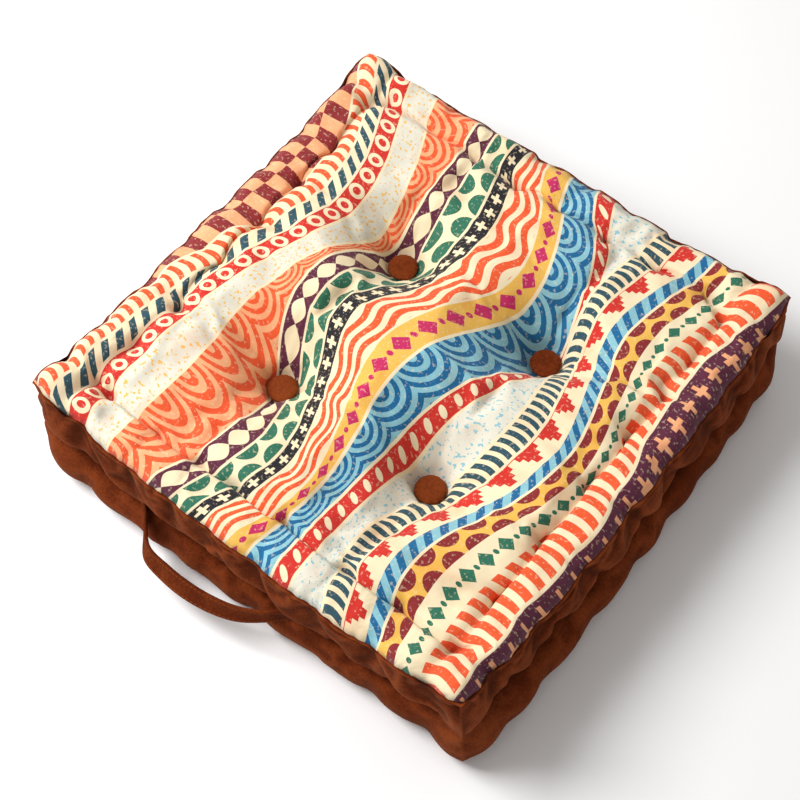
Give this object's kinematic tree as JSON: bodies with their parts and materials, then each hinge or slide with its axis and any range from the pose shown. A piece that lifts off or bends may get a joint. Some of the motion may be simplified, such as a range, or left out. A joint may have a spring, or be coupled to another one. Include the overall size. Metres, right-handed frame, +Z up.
{
  "type": "floor cushion",
  "caption": "Square button-tufted floor cushion with rolled edges, a gathered velvet border, a printed top panel and a side strap handle.",
  "frame": {"origin": "middle of the flat base, on the floor", "axes": "+Z up through the printed top; the handle is on the -Y side; X and Y run along the square's sides"},
  "size_m": [0.4843, 0.5091, 0.1219],
  "materials": {
    "velvet": "rust brown velvet with a soft nap",
    "print": "matt cotton printed with bands of many colours",
    "button": "rust brown velvet stretched over a button"
  },
  "bodies": {
    "root": {"cushion_case": "velvet", "top_panel": "print", "button_left": "button", "button_front": "button", "button_right": "button", "button_back": "button", "handle_strap": "velvet"}
  },
  "joints": []
}
